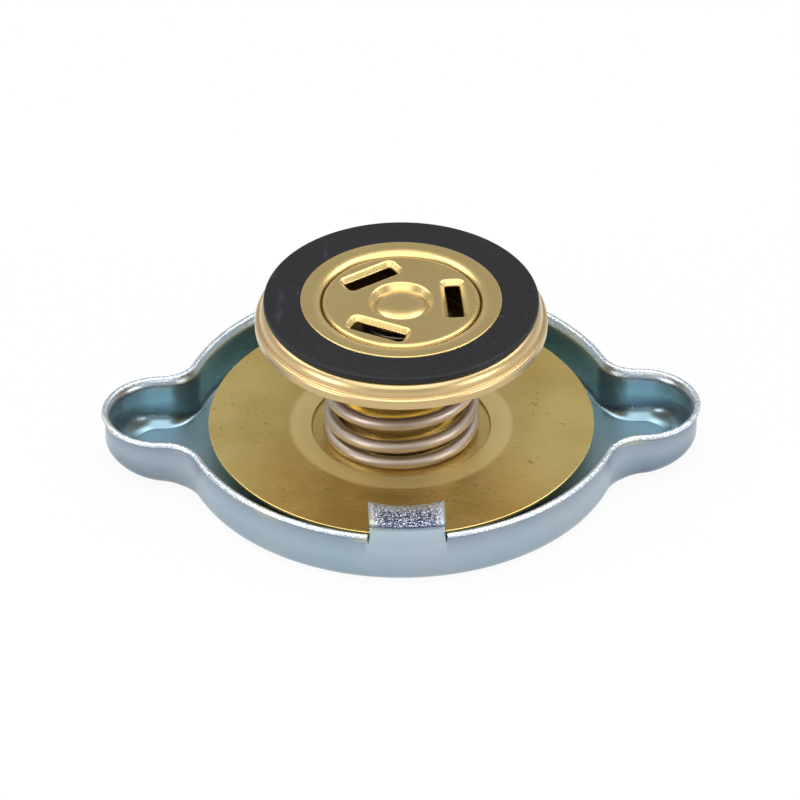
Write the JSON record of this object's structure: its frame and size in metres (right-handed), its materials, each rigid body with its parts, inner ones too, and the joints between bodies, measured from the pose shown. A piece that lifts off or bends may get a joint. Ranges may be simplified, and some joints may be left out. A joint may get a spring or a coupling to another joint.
{
  "type": "radiator cap",
  "caption": "Eared pressed-steel radiator pressure cap with bayonet lugs, dished brass spring disc, sprung valve plate with rubber seal, and a slotted vacuum-valve cover.",
  "frame": {"origin": "middle of the crown's outer face, on which the cap lies", "axes": "+Z from the crown to the seal, +X through an ear, +Y through a bayonet lug"},
  "size_m": [0.0922, 0.0676, 0.029],
  "materials": {
    "plated_steel": "bright zinc plate on pressed steel sheet",
    "rivet_steel": "zinc plate",
    "disc_brass": "rolled brass sheet, lightly tarnished",
    "valve_brass": "drawn brass sheet, bright",
    "spring_wire": "drawn spring wire",
    "seal_rubber": "matte moulded rubber"
  },
  "bodies": {
    "shell": {"cap_shell": "plated_steel", "centre_rivet": "rivet_steel"},
    "carrier": {"spring_disc": "disc_brass", "guide_tube": "disc_brass", "pressure_spring": "spring_wire"},
    "valve": {"valve_stem": "valve_brass", "valve_cup": "valve_brass", "valve_plate": "valve_brass", "seal_ring": "seal_rubber", "slotted_cover": "valve_brass", "vacuum_spring": "spring_wire"},
    "vacuum": {"vacuum_valve": "valve_brass", "vacuum_seal": "seal_rubber"}
  },
  "joints": [
    {"name": "swivel", "type": "hinge", "parent": "shell", "child": "carrier", "pos_m": [0, 0, 0.0051], "axis": [0, 0, 1], "continuous": true},
    {"name": "valve_slide", "type": "slide", "parent": "carrier", "child": "valve", "axis": [0, 0, -1], "range_m": [0, 0.005], "stiffness_N_per_m": 5000, "springref_m": -0.001, "deforming": ["pressure_spring"]},
    {"name": "vacuum_slide", "type": "slide", "parent": "valve", "child": "vacuum", "axis": [0, 0, 1], "range_m": [0, 0.0015], "stiffness_N_per_m": 40, "springref_m": -0.004, "deforming": ["vacuum_spring"]}
  ]
}
